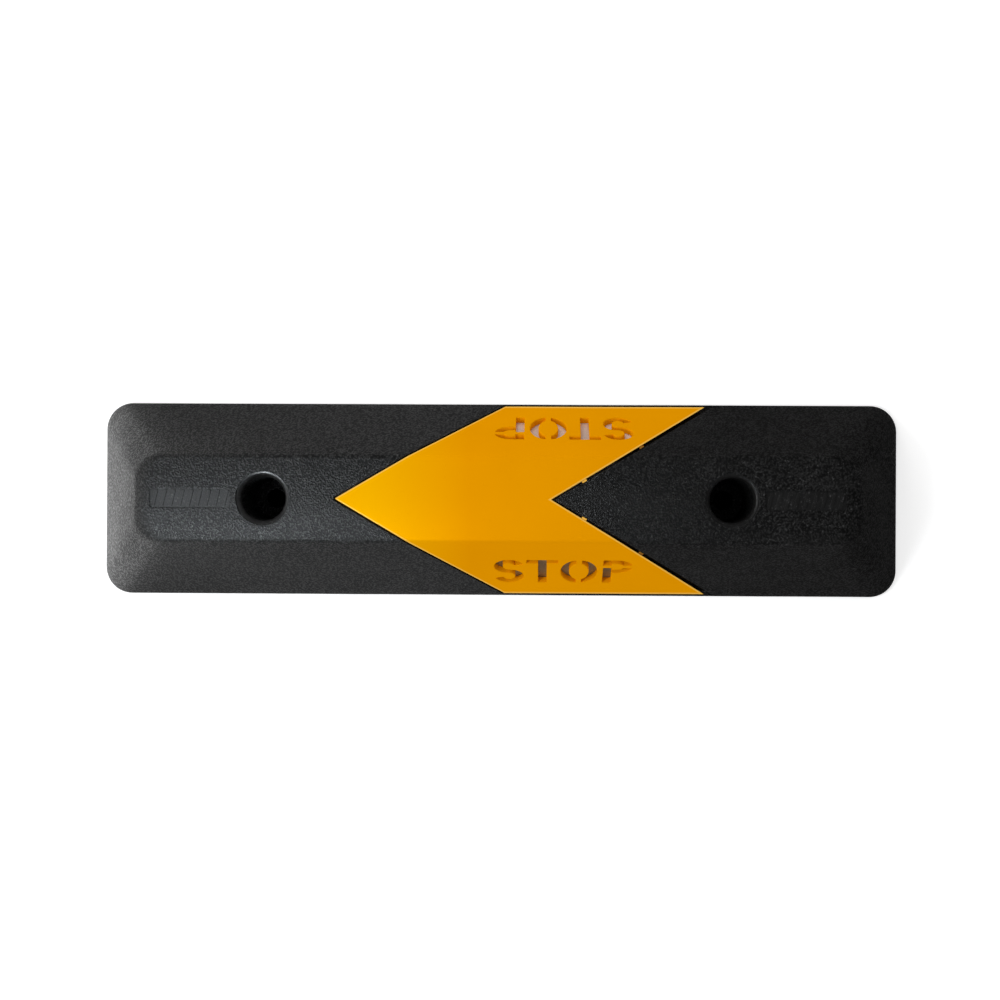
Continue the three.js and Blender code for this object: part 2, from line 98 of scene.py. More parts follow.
# Anchor holes
BORE_TOP = 16
BORE_FLOOR = 15
BORE_FLOOR_HEIGHT = 25
RIM_RADIUS = 19.2
RIM_HEIGHT = 98.3
RIM_DEPTH = 4
ANCHOR_RADIUS = 7
RIM_EDGE = 0.3

# Chevron insert and its recess
TIP_X = -116
TIP_END_X = 4.5
NOTCH_X = 38.6
TIP_RADIUS = 0.8
WING_RADIUS = 0.8
TRAILING_RADIUS = 0.25
NOTCH_RADIUS = 0.3
INSERT_THICKNESS = 4.5
SEAM = 1.1
TRAILING_SEAM = 3  # the seam at the foot of the trailing edges, its widest place
FIT_GAP = 0.3
RECESS_DEPTH = INSERT_THICKNESS + FIT_GAP
RECESS_LEDGE = 6.1
RECESS_EDGE = 0.6  # rounding of the recess's brink
INSERT_EDGE = 0.7  # rounding of the insert's outline
FOOT_SET_BACK = 0.3  # how far the same rounding takes the foot of a wing in
LETTER_EDGE = 0.6
LEADING_SLOPE = (TIP_END_X - TIP_X) / WING_FOOT_Y
TRAILING_SLOPE = (NOTCH_END_X - NOTCH_X) / WING_FOOT_Y

LUG_PLACES = ((14.1, 1.2), (-14.1, 1.2), (39.4, 2.4), (-39.4, 2.4))  # y, and depth of its top
LUG_WIDTH = 3.6
LUG_REACH = 1.5
LUG_BOTTOM = 3.8
LUG_CLEARANCE = 0.4

HOOK_PLACES = ((-76, 10), (-28, 14), (28, 14))
HOOK_WIDTH = 10
HOOK_THICKNESS = 3
HOOK_FOOT_HEIGHT = 79
BARB_REACH = 1.6

# Stencil letters
LETTER_HEIGHT = 43
LETTER_FOOT_HEIGHT = 28.5
LETTER_MIDDLE_X = 48
STROKE = 6.2
STROKE_CORNER = 0.6
BRIDGE = 4.3
LETTER_ROW = (("S", 21.5, 2.3), ("T", 23, 1.9), ("O", 27, 4.2), ("P", 21.5, 0))
ROW_WIDTH = sum(width + gap for _, width, gap in LETTER_ROW)

STRIP_THICKNESS = 0.6
STRIP_MARGIN = 2.5

# Grip panels
PANEL_START = 191
PANEL_LENGTH = 57
PANEL_WIDTH = 14
PANEL_HEIGHT = 99
PANEL_EDGE = 0.3
PANEL_CORNER = 1.5
PANEL_BARS = 9
BAR_WIDTH = 2.6
BAR_HEIGHT = 0.6
BAR_LEAN = 3
BAR_EDGE = 0.25
BAR_CORNER = 0.6

EDGE_LINES = (0.1, 0.38, 1, 1.8)  # shares of an edge's radius that get a line, one beyond it

# Points and sides that a mesh merges
SAME_POINT = 0.003
NO_LENGTH = 0.001

# Unevenness of the mouldings
DRAW = 0.28  # the most that a side or the top is drawn in
WAVE = 95  # length along the bar of its slow waves
RIPPLE = 31


# ---- Plan drawing ----


def circle(x, y, radius, count=96):
    turns = np.arange(count) * 2 * math.pi / count
    return np.column_stack([x + radius * np.cos(turns), y + radius * np.sin(turns)])


def rounded(corners, radii, steps=6):
    """A closed outline with each corner rounded by its own radius, or by one for all."""
    corners = [np.array(corner, float) for corner in corners]
    radii = np.broadcast_to(radii, len(corners))
    outline = []
    for i, (corner, radius) in enumerate(zip(corners, radii)):
        back = corners[i - 1] - corner
        ahead = corners[(i + 1) % len(corners)] - corner
        back /= np.linalg.norm(back)
        ahead /= np.linalg.norm(ahead)
        half = math.acos(np.clip(back @ ahead, -1, 1)) / 2
        if radius == 0 or half > 0.45 * math.pi:
            outline.append(corner)
            continue
        middle = corner + (back + ahead) / np.linalg.norm(back + ahead) * radius / math.sin(half)
        start = corner + back * radius / math.tan(half) - middle
        cross = back[0] * ahead[1] - back[1] * ahead[0]
        turn = -math.copysign(math.pi - 2 * half, cross)
        for step in range(steps + 1):
            a = turn * step / steps
            spin = np.array([[math.cos(a), -math.sin(a)], [math.sin(a), math.cos(a)]])
            outline.append(middle + spin @ start)
    return np.array(outline)


def subdivided(outline, length):
    """The same closed outline with no side longer than a length."""
    points = []
    for start, end in zip(outline, np.roll(outline, -1, axis=0)):
        count = max(1, math.ceil(np.linalg.norm(end - start) / length))
        points.extend(start + (end - start) * step / count for step in range(count))
    return np.array(points)


def is_left_handed(outline):
    x, y = outline.T
    return np.sum(x * np.roll(y, -1) - np.roll(x, -1) * y) < 0


def offset(outline, distance):
    """A closed outline moved outwards by a distance, with mitred corners."""
    if is_left_handed(outline):
        outline = outline[::-1]
    before = outline - np.roll(outline, 1, axis=0)
    after = np.roll(outline, -1, axis=0) - outline
    before /= np.linalg.norm(before, axis=1)[:, None]
    after /= np.linalg.norm(after, axis=1)[:, None]
    normal = np.column_stack([before[:, 1] + after[:, 1], -before[:, 0] - after[:, 0]])
    normal /= np.maximum(np.sum(normal**2, axis=1) / 2, 0.3)[:, None]
    return outline + normal * distance


def inside(points, outline):
    """True for each point inside a closed outline."""
    result = np.zeros(len(points), bool)
    x, y = points.T
    for (x0, y0), (x1, y1) in zip(outline, np.roll(outline, -1, axis=0)):
        if y0 == y1:
            continue
        crosses = (y0 > y) != (y1 > y)
        result ^= crosses & (x < (x1 - x0) * (y - y0) / (y1 - y0) + x0)
    return result


def distance_to(points, outlines):
    """Each point's distance to the nearest of some closed outlines."""
    nearest = np.full(len(points), np.inf)
    for outline in outlines:
        for start, end in zip(outline, np.roll(outline, -1, axis=0)):
            side = end - start
            share = np.clip((points - start) @ side / max(side @ side, 1e-12), 0, 1)
            reach = np.linalg.norm(points - start - share[:, None] * side, axis=1)
            nearest = np.minimum(nearest, reach)
    return nearest


def edge_drop(distance, radius):
    """How far a rounded edge has dropped at a distance in from its brink."""
    short = np.clip(radius - distance, 0, radius)
    return radius - np.sqrt(radius**2 - short**2)


# ---- A surface drawn as regions of a plan ----


class Skin:
    """Points and faces of one closed surface, gathered piece by piece."""

    def __init__(self):
        self.points = []
        self.faces = []

    def add(self, points):
        start = len(self.points)
        self.points.extend(np.asarray(points, float))
        return np.arange(start, len(self.points))

    def extend(self, loop, points):
        """A band from an open edge's loop to new points, one for each. Returns the new loop."""
        new = self.add(points)
        for i in range(len(loop)):
            j = (i + 1) % len(loop)
            self.faces.append((loop[j], loop[i], new[i], new[j]))
        return new

    def mesh(self, name):
        points = settled(np.array(self.points))
        data = bmesh.new()
        made = [data.verts.new(point * MM) for point in points]
        for face in self.faces:
            if len(set(face)) == len(face):
                data.faces.new([made[i] for i in face])
        bmesh.ops.remove_doubles(data, verts=data.verts, dist=SAME_POINT * MM)
        bmesh.ops.dissolve_degenerate(data, edges=data.edges, dist=NO_LENGTH * MM)
        bmesh.ops.recalc_face_normals(data, faces=data.faces)
        mesh = bpy.data.meshes.new(name)
        data.to_mesh(mesh)
        data.free()
        return mesh


def settled(points):
    """The slight unevenness of a large moulding: sides and top drawn in by a fraction of a mm."""
    points = points.copy()
    for i, (x, y, z) in enumerate(points):
        side = noise.noise(Vector((x / WAVE, math.copysign(3.7, y), 0.2)))
        ripple = noise.noise(Vector((x / RIPPLE, y / 60, 5.1 + z / 80)))
        top = noise.noise(Vector((x / WAVE, y / 45, 8.3)))
        share = 0.5 + 0.42 * side + 0.15 * ripple
        points[i][1] = y * (1 - DRAW * max(share, 0) / HALF_WIDTH)
        points[i][2] = z - DRAW * max(0.4 + 0.5 * top, 0) * z / HEIGHT
    return points


def triangulate(outlines, lines=()):
    """Points and triangles of a plan whose outlines and lines all lie along triangle sides."""
    points, edges = [], []
    for outline, closed in [(o, True) for o in outlines] + [(o, False) for o in lines]:
        start = len(points)
        points.extend(Vector(point) for point in outline)
        count = len(outline)
        edges.extend((start + i, start + (i + 1) % count) for i in range(count - (not closed)))
    made = delaunay_2d_cdt(points, edges, [], 0, 1e-4)
    return np.array([tuple(point) for point in made[0]]), np.array([f for f in made[2]])


def chained(edges):
    """Sorts directed edges into closed loops."""
    following = dict(edges)
    loops = []
    while following:
        start, current = next(iter(following.items()))
        loop = [start]
        del following[start]
        while current != start:
            loop.append(current)
            current = following.pop(current)
        loops.append(loop)
    return loops


def lay_regions(skin, plan, triangles, region_of, place, upwards=True):
    """Lays each region of a triangulated plan at its own place, and walls where two meet.

    region_of gives each point's region, or -1 for none, and place(region, points) their places
    in space. Returns the open edges as {region: [(corner, next corner)]} of plan points, and
    what each plan point became in each region.
    """
    regions = region_of(plan[triangles].mean(axis=1))
    became = {}
    for region in sorted(set(regions) - {-1}):
        used = np.unique(triangles[regions == region])
        ids = skin.add(place(region, plan[used]))
        became[region] = dict(zip(used, ids))
    borders = {}
    for triangle, region in zip(triangles, regions):
        for i in range(3):
            borders[(triangle[i], triangle[(i + 1) % 3])] = region
        if region >= 0:
            face = [became[region][corner] for corner in triangle]
            skin.faces.append(tuple(face if upwards else face[::-1]))
    open_edges = {region: [] for region in became}
    for (a, b), region in borders.items():
        other = borders.get((b, a), -1)
        if region < 0 or other == region:
            continue
        if other < 0:
            open_edges[region].append((a, b))
        elif region < other:
            own, theirs = became[region], became[other]
            wall = (own[b], own[a], theirs[a], theirs[b])
            skin.faces.append(wall if upwards else wall[::-1])
    return open_edges, became


# ---- Surface of the bar ----


def crown_height(y):
    return HEIGHT - CROWN_RADIUS + np.sqrt(CROWN_RADIUS**2 - y**2)


def surface_height(inset, y, fillet):
    """Height at a plan distance in from the base outline, with a fillet up to the crown."""
    top = crown_height(y)
    meeting = (top - FOOT_HEIGHT) / SLOPE
    tangent = fillet * math.tan(SLOPE_ANGLE / 2)
    short = np.maximum(meeting + tangent - inset, 0)
    arc = top - fillet + np.sqrt(np.maximum(fillet**2 - short**2, 0))
    slope = FOOT_HEIGHT + SLOPE * inset
    on_slope = inset <= meeting - tangent * math.cos(SLOPE_ANGLE)
    return np.where(on_slope, slope, arc)


def bar_height(points):
    """Height of the bar's outside over plan points, with nothing cut into it."""
    x, y = points.T
    from_end = HALF_LENGTH - np.abs(x)
    from_side = HALF_WIDTH - np.abs(y)
    apart = np.abs(from_end - from_side)
    reach = from_end + from_side + np.sqrt(np.maximum(2 * CORNER_RADIUS**2 - apart**2, 0))
    reach /= 2
    on_hip = apart < CORNER_RADIUS
    inset = np.where(on_hip, reach - CORNER_RADIUS, np.minimum(from_end, from_side))
    hip_share = np.clip((reach - from_end) / CORNER_RADIUS, 0, 1) ** 2
    end_share = np.where(on_hip, hip_share, from_end < from_side)
    fillet = SIDE_FILLET + (END_FILLET - SIDE_FILLET) * end_share
    return surface_height(inset, y, fillet)


class Section:
    """The bar's cross-section, walked from the middle of the top down one side."""

    def __init__(self, fillet):
        self.y = np.linspace(0, HALF_WIDTH, 3000)
        self.z = surface_height(HALF_WIDTH - self.y, self.y, fillet)
        walk = np.hypot(np.diff(self.y), np.diff(self.z))
        self.s = np.concatenate([[0], np.cumsum(walk)])
        along = np.column_stack([np.gradient(self.y), np.gradient(self.z)])
        along /= np.linalg.norm(along, axis=1)[:, None]
        self.normal_y, self.normal_z = -along[:, 1], along[:, 0]

    def walk_to(self, y):
        """Distance walked to a place across the bar. The rear side counts as positive."""
        return np.sign(y) * np.interp(np.abs(y), self.y, self.s)

    def walk_down_to(self, z):
        return float(np.interp(-z, -self.z, self.s))

    def across(self, s):
        return np.sign(s) * np.interp(np.abs(s), self.s, self.y)

    def set_in(self, s, depth):
        """Distance across the bar of a place on the walk, set in square to the surface."""
        y = np.interp(np.abs(s), self.s, self.y)
        return y - depth * np.interp(y, self.y, self.normal_y)

    def lowered_height(self, y, depth):
        """Height over y of the surface lowered square to itself."""
        reach = np.abs(y)
        for _ in range(40):
            reach = np.abs(y) + depth * np.interp(reach, self.y, self.normal_y)
        past = np.maximum(reach - HALF_WIDTH, 0)
        z = np.interp(reach, self.y, self.z) - SLOPE * past
        return z - depth * np.interp(reach, self.y, self.normal_z)


face = Section(SIDE_FILLET)
core = Section(INNER_FILLET)


def filleted_steps(fillet, count):
    """Insets from the start of a fillet to its end."""
    tangent = fillet * math.tan(SLOPE_ANGLE / 2)
    start = SHOULDER_RUN - tangent * math.cos(SLOPE_ANGLE)
    return np.linspace(start, SHOULDER_RUN + 1.4 + tangent, count)


# ---- Chevron outline ----


def chevron_plan(foot_y, growth=0, trailing_growth=0):
    """The chevron in plan, grown all round, by its own amount at the trailing edges' feet."""
    tip = TIP_X - growth * math.hypot(1, LEADING_SLOPE)
    notch = NOTCH_X + growth * math.hypot(1, TRAILING_SLOPE)
    wing_end = NOTCH_END_X + trailing_growth * math.hypot(1, TRAILING_SLOPE)
    lead = tip + LEADING_SLOPE * foot_y
    trail = notch + (wing_end - notch) * foot_y / WING_FOOT_Y
    corners = [(tip, 0), (lead, -foot_y), (trail, -foot_y), (notch, 0), (trail, foot_y), (lead, foot_y)]
    radii = [TIP_RADIUS + growth, WING_RADIUS, TRAILING_RADIUS, NOTCH_RADIUS, TRAILING_RADIUS, WING_RADIUS]
    return rounded(corners, radii)


def lug_plan(y, growth):
    """A lug on a trailing edge in plan, with its root inside the insert."""
    side = math.copysign(1, y)
    root = np.array([NOTCH_X + TRAILING_SLOPE * abs(y), y])
    along = np.array([TRAILING_SLOPE, side]) / math.hypot(TRAILING_SLOPE, 1)
    out = np.array([1, -side * TRAILING_SLOPE]) / math.hypot(TRAILING_SLOPE, 1)
    half = LUG_WIDTH / 2 + growth
    reach = LUG_REACH + growth
    corners = [root - half * along - out, root + half * along - out]
    corners += [root + half * along + reach * out, root - half * along + reach * out]
    outline = np.array(corners)
    return outline[::-1] if is_left_handed(outline) else outline


# ---- Body ----

OUTSIDE, RECESS, STRIP_POCKET, MOUTH, PANEL, PANEL_BAR = range(6)

LOW_INSETS = (0, 3, 8, 14, 20, 26, 32, 36.5)  # where the base outline is repeated up the slopes
HIGH_INSETS = (57, 61, 65, 69, 71.8)  # and over the top
RECESS_LINES = (0, 6, 12, 18, 23, 26, 27, 28, 29, 30, 31, 32, 34, 40, 50, 60)
BORE_PROFILE = (  # radius and height, from under an anchor hole's mouth to the ground
    (BORE_TOP - 0.2, 82), (BORE_TOP - 0.5, 60), (BORE_FLOOR, BORE_FLOOR_HEIGHT + 1.5),
    (BORE_FLOOR - 0.4, BORE_FLOOR_HEIGHT + 0.4), (BORE_FLOOR - 1.5, BORE_FLOOR_HEIGHT),
    (ANCHOR_RADIUS + 0.4, BORE_FLOOR_HEIGHT), (ANCHOR_RADIUS, BORE_FLOOR_HEIGHT - 0.4),
    (ANCHOR_RADIUS, 12), (ANCHOR_RADIUS, 0),
)
FOOT_PROFILE = ((0, FOOT_EDGE), (0.3, 0.3 * FOOT_EDGE), (1, 0))  # share drawn in, and height


def ring(inset):
    """The base outline drawn in by an inset, with points all along it."""
    a, b = HALF_LENGTH - inset, HALF_WIDTH - inset
    corners = [(a, b), (-a, b), (-a, -b), (a, -b)]
    return subdivided(rounded(corners, min(CORNER_RADIUS, 0.95 * b), steps=16), 9)


def strip_plan(rear, growth):
    """The pocket or strip behind one word, in plan."""
    half_length = ROW_WIDTH / 2 + STRIP_MARGIN + growth
    foot = face.walk_down_to(LETTER_FOOT_HEIGHT)
    low = face.set_in(foot + STRIP_MARGIN + growth, RECESS_DEPTH)
    high = face.set_in(foot - LETTER_HEIGHT - STRIP_MARGIN - growth, RECESS_DEPTH)
    sign = 1 if rear else -1
    corners = [(LETTER_MIDDLE_X + a * half_length, sign * b)
               for a, b in ((-1, low), (1, low), (1, high), (-1, high))]
    return np.array(corners)


def panel_plan(side):
    """A grip panel's outline and those of its bars, in plan."""
    middle = side * (PANEL_START + PANEL_LENGTH / 2)
    half_length, half_width = PANEL_LENGTH / 2, PANEL_WIDTH / 2
    corners = [(middle + a * half_length, b * half_width) for a, b in ((-1, -1), (1, -1), (1, 1), (-1, 1))]
    bars = []
    for i in range(PANEL_BARS):
        x = middle - half_length + PANEL_LENGTH * (i + 0.5) / PANEL_BARS
        bar = [(x + lean * BAR_LEAN / 2 + edge * BAR_WIDTH / 2, lean * (half_width - 1))
               for lean, edge in ((-1, -1), (-1, 1), (1, 1), (1, -1))]
        bars.append(rounded(bar, BAR_CORNER, steps=3))
    return rounded(corners, PANEL_CORNER), bars


def mouth_circles():
    """Circles round both anchor holes: over the curve of the rim, its brink and just outside."""
    curve = BORE_TOP + (RIM_RADIUS - BORE_TOP) * (1 - np.cos(np.linspace(0, math.pi / 2, 7)))
    brink = [RIM_RADIUS + share * RIM_EDGE for share in EDGE_LINES]
    radii = (*curve, *brink, RIM_RADIUS + 3)
    return [circle(x, 0, radius) for x in (-HOLE_OFFSET, HOLE_OFFSET) for radius in radii]


def recess_floor_lines():
    """Lines along the recess, close together where its floor bends."""
    lines = []
    for y in RECESS_LINES:
        xs = np.linspace(TIP_X + LEADING_SLOPE * y, NOTCH_X + TRAILING_SLOPE * y, 16)
        lines += [[(x, side * y) for x in xs] for side in ((1, -1) if y else (1,))]
    return lines


def from_hole(points):
    """Each point's distance from the middle of the nearer anchor hole."""
    return np.hypot(np.abs(points[:, 0]) - HOLE_OFFSET, points[:, 1])


def at_height(points, height):
    return np.column_stack([points, np.full(len(points), height)])


def round_foot(skin, loop, outline):
    """The rounded bottom edge under the base outline. Returns its bottom rim."""
    inward = offset(outline, -FOOT_EDGE) - outline
    for share, height in FOOT_PROFILE:
        loop = skin.extend(loop, at_height(outline + share * inward, height))
    return outline + inward


def sink_bore(skin, loop, mouth):
    """An anchor hole's wall and seat, from its mouth to the ground. Returns its bottom rim."""
    middle = np.array([math.copysign(HOLE_OFFSET, mouth[0][0]), 0])
    spoke = (mouth - middle) / BORE_TOP
    for radius, height in BORE_PROFILE:
        loop = skin.extend(loop, at_height(middle + spoke * radius, height))
    return middle + spoke * ANCHOR_RADIUS


def close_base(skin, rims):
    """The flat underside within the first rim, left open within the others."""
    plan, triangles = triangulate(rims)

    def region_of(points):
        region = np.where(inside(points, rims[0]), 0, -1)
        for rim in rims[1:]:
            region[inside(points, rim)] = -1
        return region

    lay_regions(skin, plan, triangles, region_of, lambda _, points: at_height(points, 0), upwards=False)


def body_skin():
    """The bar's surface, before its underside is hollowed."""
    skin = Skin()
    recess_foot_y = HALF_WIDTH - (INSERT_FOOT_HEIGHT - SEAM - FOOT_HEIGHT) / SLOPE
    recess = subdivided(chevron_plan(recess_foot_y, SEAM, TRAILING_SEAM), 8)
    pockets = [lug_plan(y, LUG_CLEARANCE) for y, _ in LUG_PLACES]
    strips = [strip_plan(rear, FIT_GAP) for rear in (False, True)]
    panels, bars = [], []
    for side in (-1, 1):
        outline, panel_bars = panel_plan(side)
        panels.append(outline)
        bars.extend(panel_bars)

    insets = [*LOW_INSETS, *filleted_steps(END_FILLET, 13), *HIGH_INSETS, *filleted_steps(SIDE_FILLET, 8)]
    outlines = [ring(inset) for inset in sorted(insets)]
    outlines += [recess, *pockets, *strips, *panels, *bars]
    for share in EDGE_LINES:
        outlines.append(offset(recess, share * RECESS_EDGE))
        outlines += [offset(panel, share * PANEL_EDGE) for panel in panels]
        outlines += [offset(bar, -share * BAR_EDGE) for bar in bars]
    outlines += mouth_circles()
    plan, triangles = triangulate(outlines, recess_floor_lines())

    def region_of(points):
        region = np.where(inside(points, ring(0)), OUTSIDE, -1)
        groups = ((RECESS, (recess, *pockets)), (STRIP_POCKET, strips), (PANEL, panels), (PANEL_BAR, bars))
        for name, group in groups:
            for outline in group:
                region[inside(points, outline)] = name
        radius = from_hole(points)
        region[radius < RIM_RADIUS] = MOUTH
        region[radius < BORE_TOP] = -1
        return region

    def place(region, points):
        if region == OUTSIDE:
            z = bar_height(points)
            z -= edge_drop(distance_to(points, [recess, *pockets]), RECESS_EDGE)
            z -= edge_drop(distance_to(points, panels), PANEL_EDGE)
            z -= edge_drop(np.abs(from_hole(points) - RIM_RADIUS), RIM_EDGE)
        elif region == RECESS:
            z = np.maximum(core.lowered_height(points[:, 1], RECESS_DEPTH), RECESS_LEDGE)
        elif region == STRIP_POCKET:
            z = core.lowered_height(points[:, 1], RECESS_DEPTH + STRIP_THICKNESS + FIT_GAP)
        elif region == MOUTH:
            share = np.clip((RIM_RADIUS - from_hole(points)) / (RIM_RADIUS - BORE_TOP), 0, 1)
            z = RIM_HEIGHT - RIM_DEPTH * (1 - np.sqrt(1 - share**2))
        elif region == PANEL:
            z = np.full(len(points), PANEL_HEIGHT)
        else:
            z = PANEL_HEIGHT + BAR_HEIGHT - edge_drop(distance_to(points, bars), BAR_EDGE)
        return np.column_stack([points, z])

    open_edges, became = lay_regions(skin, plan, triangles, region_of, place)
    foot = chained(open_edges[OUTSIDE])[0]
    rims = [round_foot(skin, [became[OUTSIDE][i] for i in foot], plan[foot])]
    for mouth in chained(open_edges[MOUTH]):
        rims.append(sink_bore(skin, [became[MOUTH][i] for i in mouth], plan[mouth]))
    close_base(skin, rims)
    return skin


# ---- Hollow underside ----


def mesh_object(name, mesh):
    made = bpy.data.objects.new(name, mesh)
    bpy.context.scene.collection.objects.link(made)
    return made


def loft_object(name, rings):
    """A closed solid through rings of equal numbers of points, in mm."""
    data = bmesh.new()
    loops = [[data.verts.new(Vector(point) * MM) for point in each] for each in rings]
    for lower, upper in zip(loops, loops[1:]):
        for i in range(len(lower)):
            j = (i + 1) % len(lower)
            data.faces.new((lower[i], lower[j], upper[j], upper[i]))
    data.faces.new(loops[0][::-1])
    data.faces.new(loops[-1])
    bmesh.ops.recalc_face_normals(data, faces=data.faces)
    mesh = bpy.data.meshes.new(name)
    data.to_mesh(mesh)
    data.free()
    return mesh_object(name, mesh)


def level(outline, height):
    return [(x, y, height) for x, y in outline]


def block(name, low, high):
    outline = [(low[0], low[1]), (high[0], low[1]), (high[0], high[1]), (low[0], high[1])]
    return loft_object(name, [level(outline, low[2]), level(outline, high[2])])


def combine(target, tool, operation):
    """Applies a boolean with a tool object, which is used up."""
    modifier = target.modifiers.new(operation, "BOOLEAN")
    modifier.operation = operation
    modifier.solver = "MANIFOLD"
    modifier.object = tool
    evaluated = target.evaluated_get(bpy.context.evaluated_depsgraph_get())
    mesh = bpy.data.meshes.new_from_object(evaluated)
    target.modifiers.remove(modifier)
    used = target.data
    target.data = mesh
    mesh.name = used.name
    bpy.data.meshes.remove(used)
    bpy.data.objects.remove(tool)


def hollow():
    """The room under the bar, with the ribs and anchor bosses left standing in it."""
    side_wall = WALL / math.sin(SLOPE_ANGLE)

    def room_ring(height):
        run = side_wall + (height - FOOT_HEIGHT) / SLOPE
        a, b = HALF_LENGTH - run, HALF_WIDTH - run
        return level(rounded([(a, b), (-a, b), (-a, -b), (a, -b)], CAVITY_CORNER), height)

    room = loft_object("room", [room_ring(-2), room_ring(CEILING_HEIGHT - 2), room_ring(CEILING_HEIGHT)])
    half = RIB_THICKNESS / 2
    combine(room, block("spine", (-HALF_LENGTH, -half, -5), (HALF_LENGTH, half, HEIGHT)), "DIFFERENCE")
    for i in range(-4, 5):
        x = i * RIB_PITCH
        rib = block("rib", (x - half, -HALF_WIDTH, -5), (x + half, HALF_WIDTH, HEIGHT))
        combine(room, rib, "DIFFERENCE")
    for x in (-HOLE_OFFSET, HOLE_OFFSET):
        outline = circle(x, 0, BOSS_RADIUS, 64)
        boss = loft_object("boss", [level(outline, -5), level(outline, HEIGHT)])
        combine(room, boss, "DIFFERENCE")
    return room


# ---- Letters ----


def arc(x, y, radius_x, radius_y, start, end, steps):
    turns = np.linspace(start, end, steps)
    return np.column_stack([x + radius_x * np.cos(turns), y + radius_y * np.sin(turns)])


def letter_s(width):
    radius_x = (width - STROKE) / 2
    radius_y = (LETTER_HEIGHT - STROKE) / 4
    end_turn = 0.3  # from level to where a stroke ends, in radians
    middle = LETTER_HEIGHT / 2
    upper = arc(width / 2, middle + radius_y, radius_x, radius_y, end_turn, 1.5 * math.pi, 26)
    lower = arc(width / 2, middle - radius_y, radius_x, radius_y, math.pi / 2, end_turn - math.pi, 26)
    line = np.vstack([upper[:-1], lower])
    along = np.gradient(line, axis=0)
    along /= np.linalg.norm(along, axis=1)[:, None]
    across = np.column_stack([-along[:, 1], along[:, 0]]) * STROKE / 2
    return [np.vstack([line - across, (line + across)[::-1]])]


def letter_t(width):
    left, right = (width - STROKE) / 2, (width + STROKE) / 2
    under = LETTER_HEIGHT - STROKE
    corners = [(left, 0), (right, 0), (right, under), (width, under)]
    corners += [(width, LETTER_HEIGHT), (0, LETTER_HEIGHT), (0, under), (left, under)]
    return [rounded(corners, STROKE_CORNER, steps=3)]


def letter_o(width):
    a, b = width / 2, LETTER_HEIGHT / 2
    outer = math.acos(BRIDGE / 2 / a)
    inner = math.acos(BRIDGE / 2 / (a - STROKE))
    outside_arc = arc(0, b, a, b, -outer, outer, 34)
    inside_arc = arc(0, b, a - STROKE, b - STROKE, inner, -inner, 26)
    half = np.vstack([outside_arc, inside_arc])
    return [half + (a, 0), half * (-1, 1) + (a, 0)]


def letter_p(width):
    radius = 12
    middle = LETTER_HEIGHT - radius
    bowl_x = width - radius
    small = radius - STROKE
    web = BRIDGE / 2
    outer, inner = math.asin(web / radius), math.asin(web / small)
    upper = [(0, middle + web), (STROKE, middle + web), (STROKE, middle + small)]
    upper += [*arc(bowl_x, middle, small, small, math.pi / 2, inner, 10)]
    upper += [*arc(bowl_x, middle, radius, radius, outer, math.pi / 2, 18), (0, LETTER_HEIGHT)]
    lower = [(0, 0), (STROKE, 0), (STROKE, middle - radius)]
    lower += [*arc(bowl_x, middle, radius, radius, -math.pi / 2, -outer, 18)]
    lower += [*arc(bowl_x, middle, small, small, -inner, -math.pi / 2, 10)]
    lower += [(STROKE, middle - small), (STROKE, middle - web), (0, middle - web)]
    return [rounded(part, STROKE_CORNER, steps=3) for part in (upper, lower)]


GLYPHS = {"S": letter_s, "T": letter_t, "O": letter_o, "P": letter_p}


def word_outlines(rear):
    """The outlines of the word's strokes, on the insert's unrolled surface."""
    foot = face.walk_down_to(LETTER_FOOT_HEIGHT)
    outlines = []
    left = -ROW_WIDTH / 2
    for name, width, gap in LETTER_ROW:
        for stroke in GLYPHS[name](width):
            u, v = stroke[:, 0] + left, stroke[:, 1]
            x = LETTER_MIDDLE_X - u if rear else LETTER_MIDDLE_X + u
            s = foot - v if rear else v - foot
            outlines.append(np.column_stack([x, s]))
        left += width + gap
    return outlines


# ---- Chevron insert ----

SHEET = len(LUG_PLACES)  # the lugs are regions 0 to 3


def unrolled(outline):
    """A plan outline on the insert's unrolled surface."""
    return np.column_stack([outline[:, 0], face.walk_to(outline[:, 1])])


def insert_lines(walks):
    """Lines along the insert at distances walked down both sides, those past its feet left out."""
    foot = face.walk_to(WING_FOOT_Y)
    lines = []
    for walk in walks:
        y = face.across(walk)
        xs = np.arange(TIP_X + LEADING_SLOPE * y, NOTCH_X + TRAILING_SLOPE * y, 7)
        if walk < foot:
            lines += [[(x, side * walk) for x in xs] for side in ((1, -1) if walk else (1,))]
    return lines


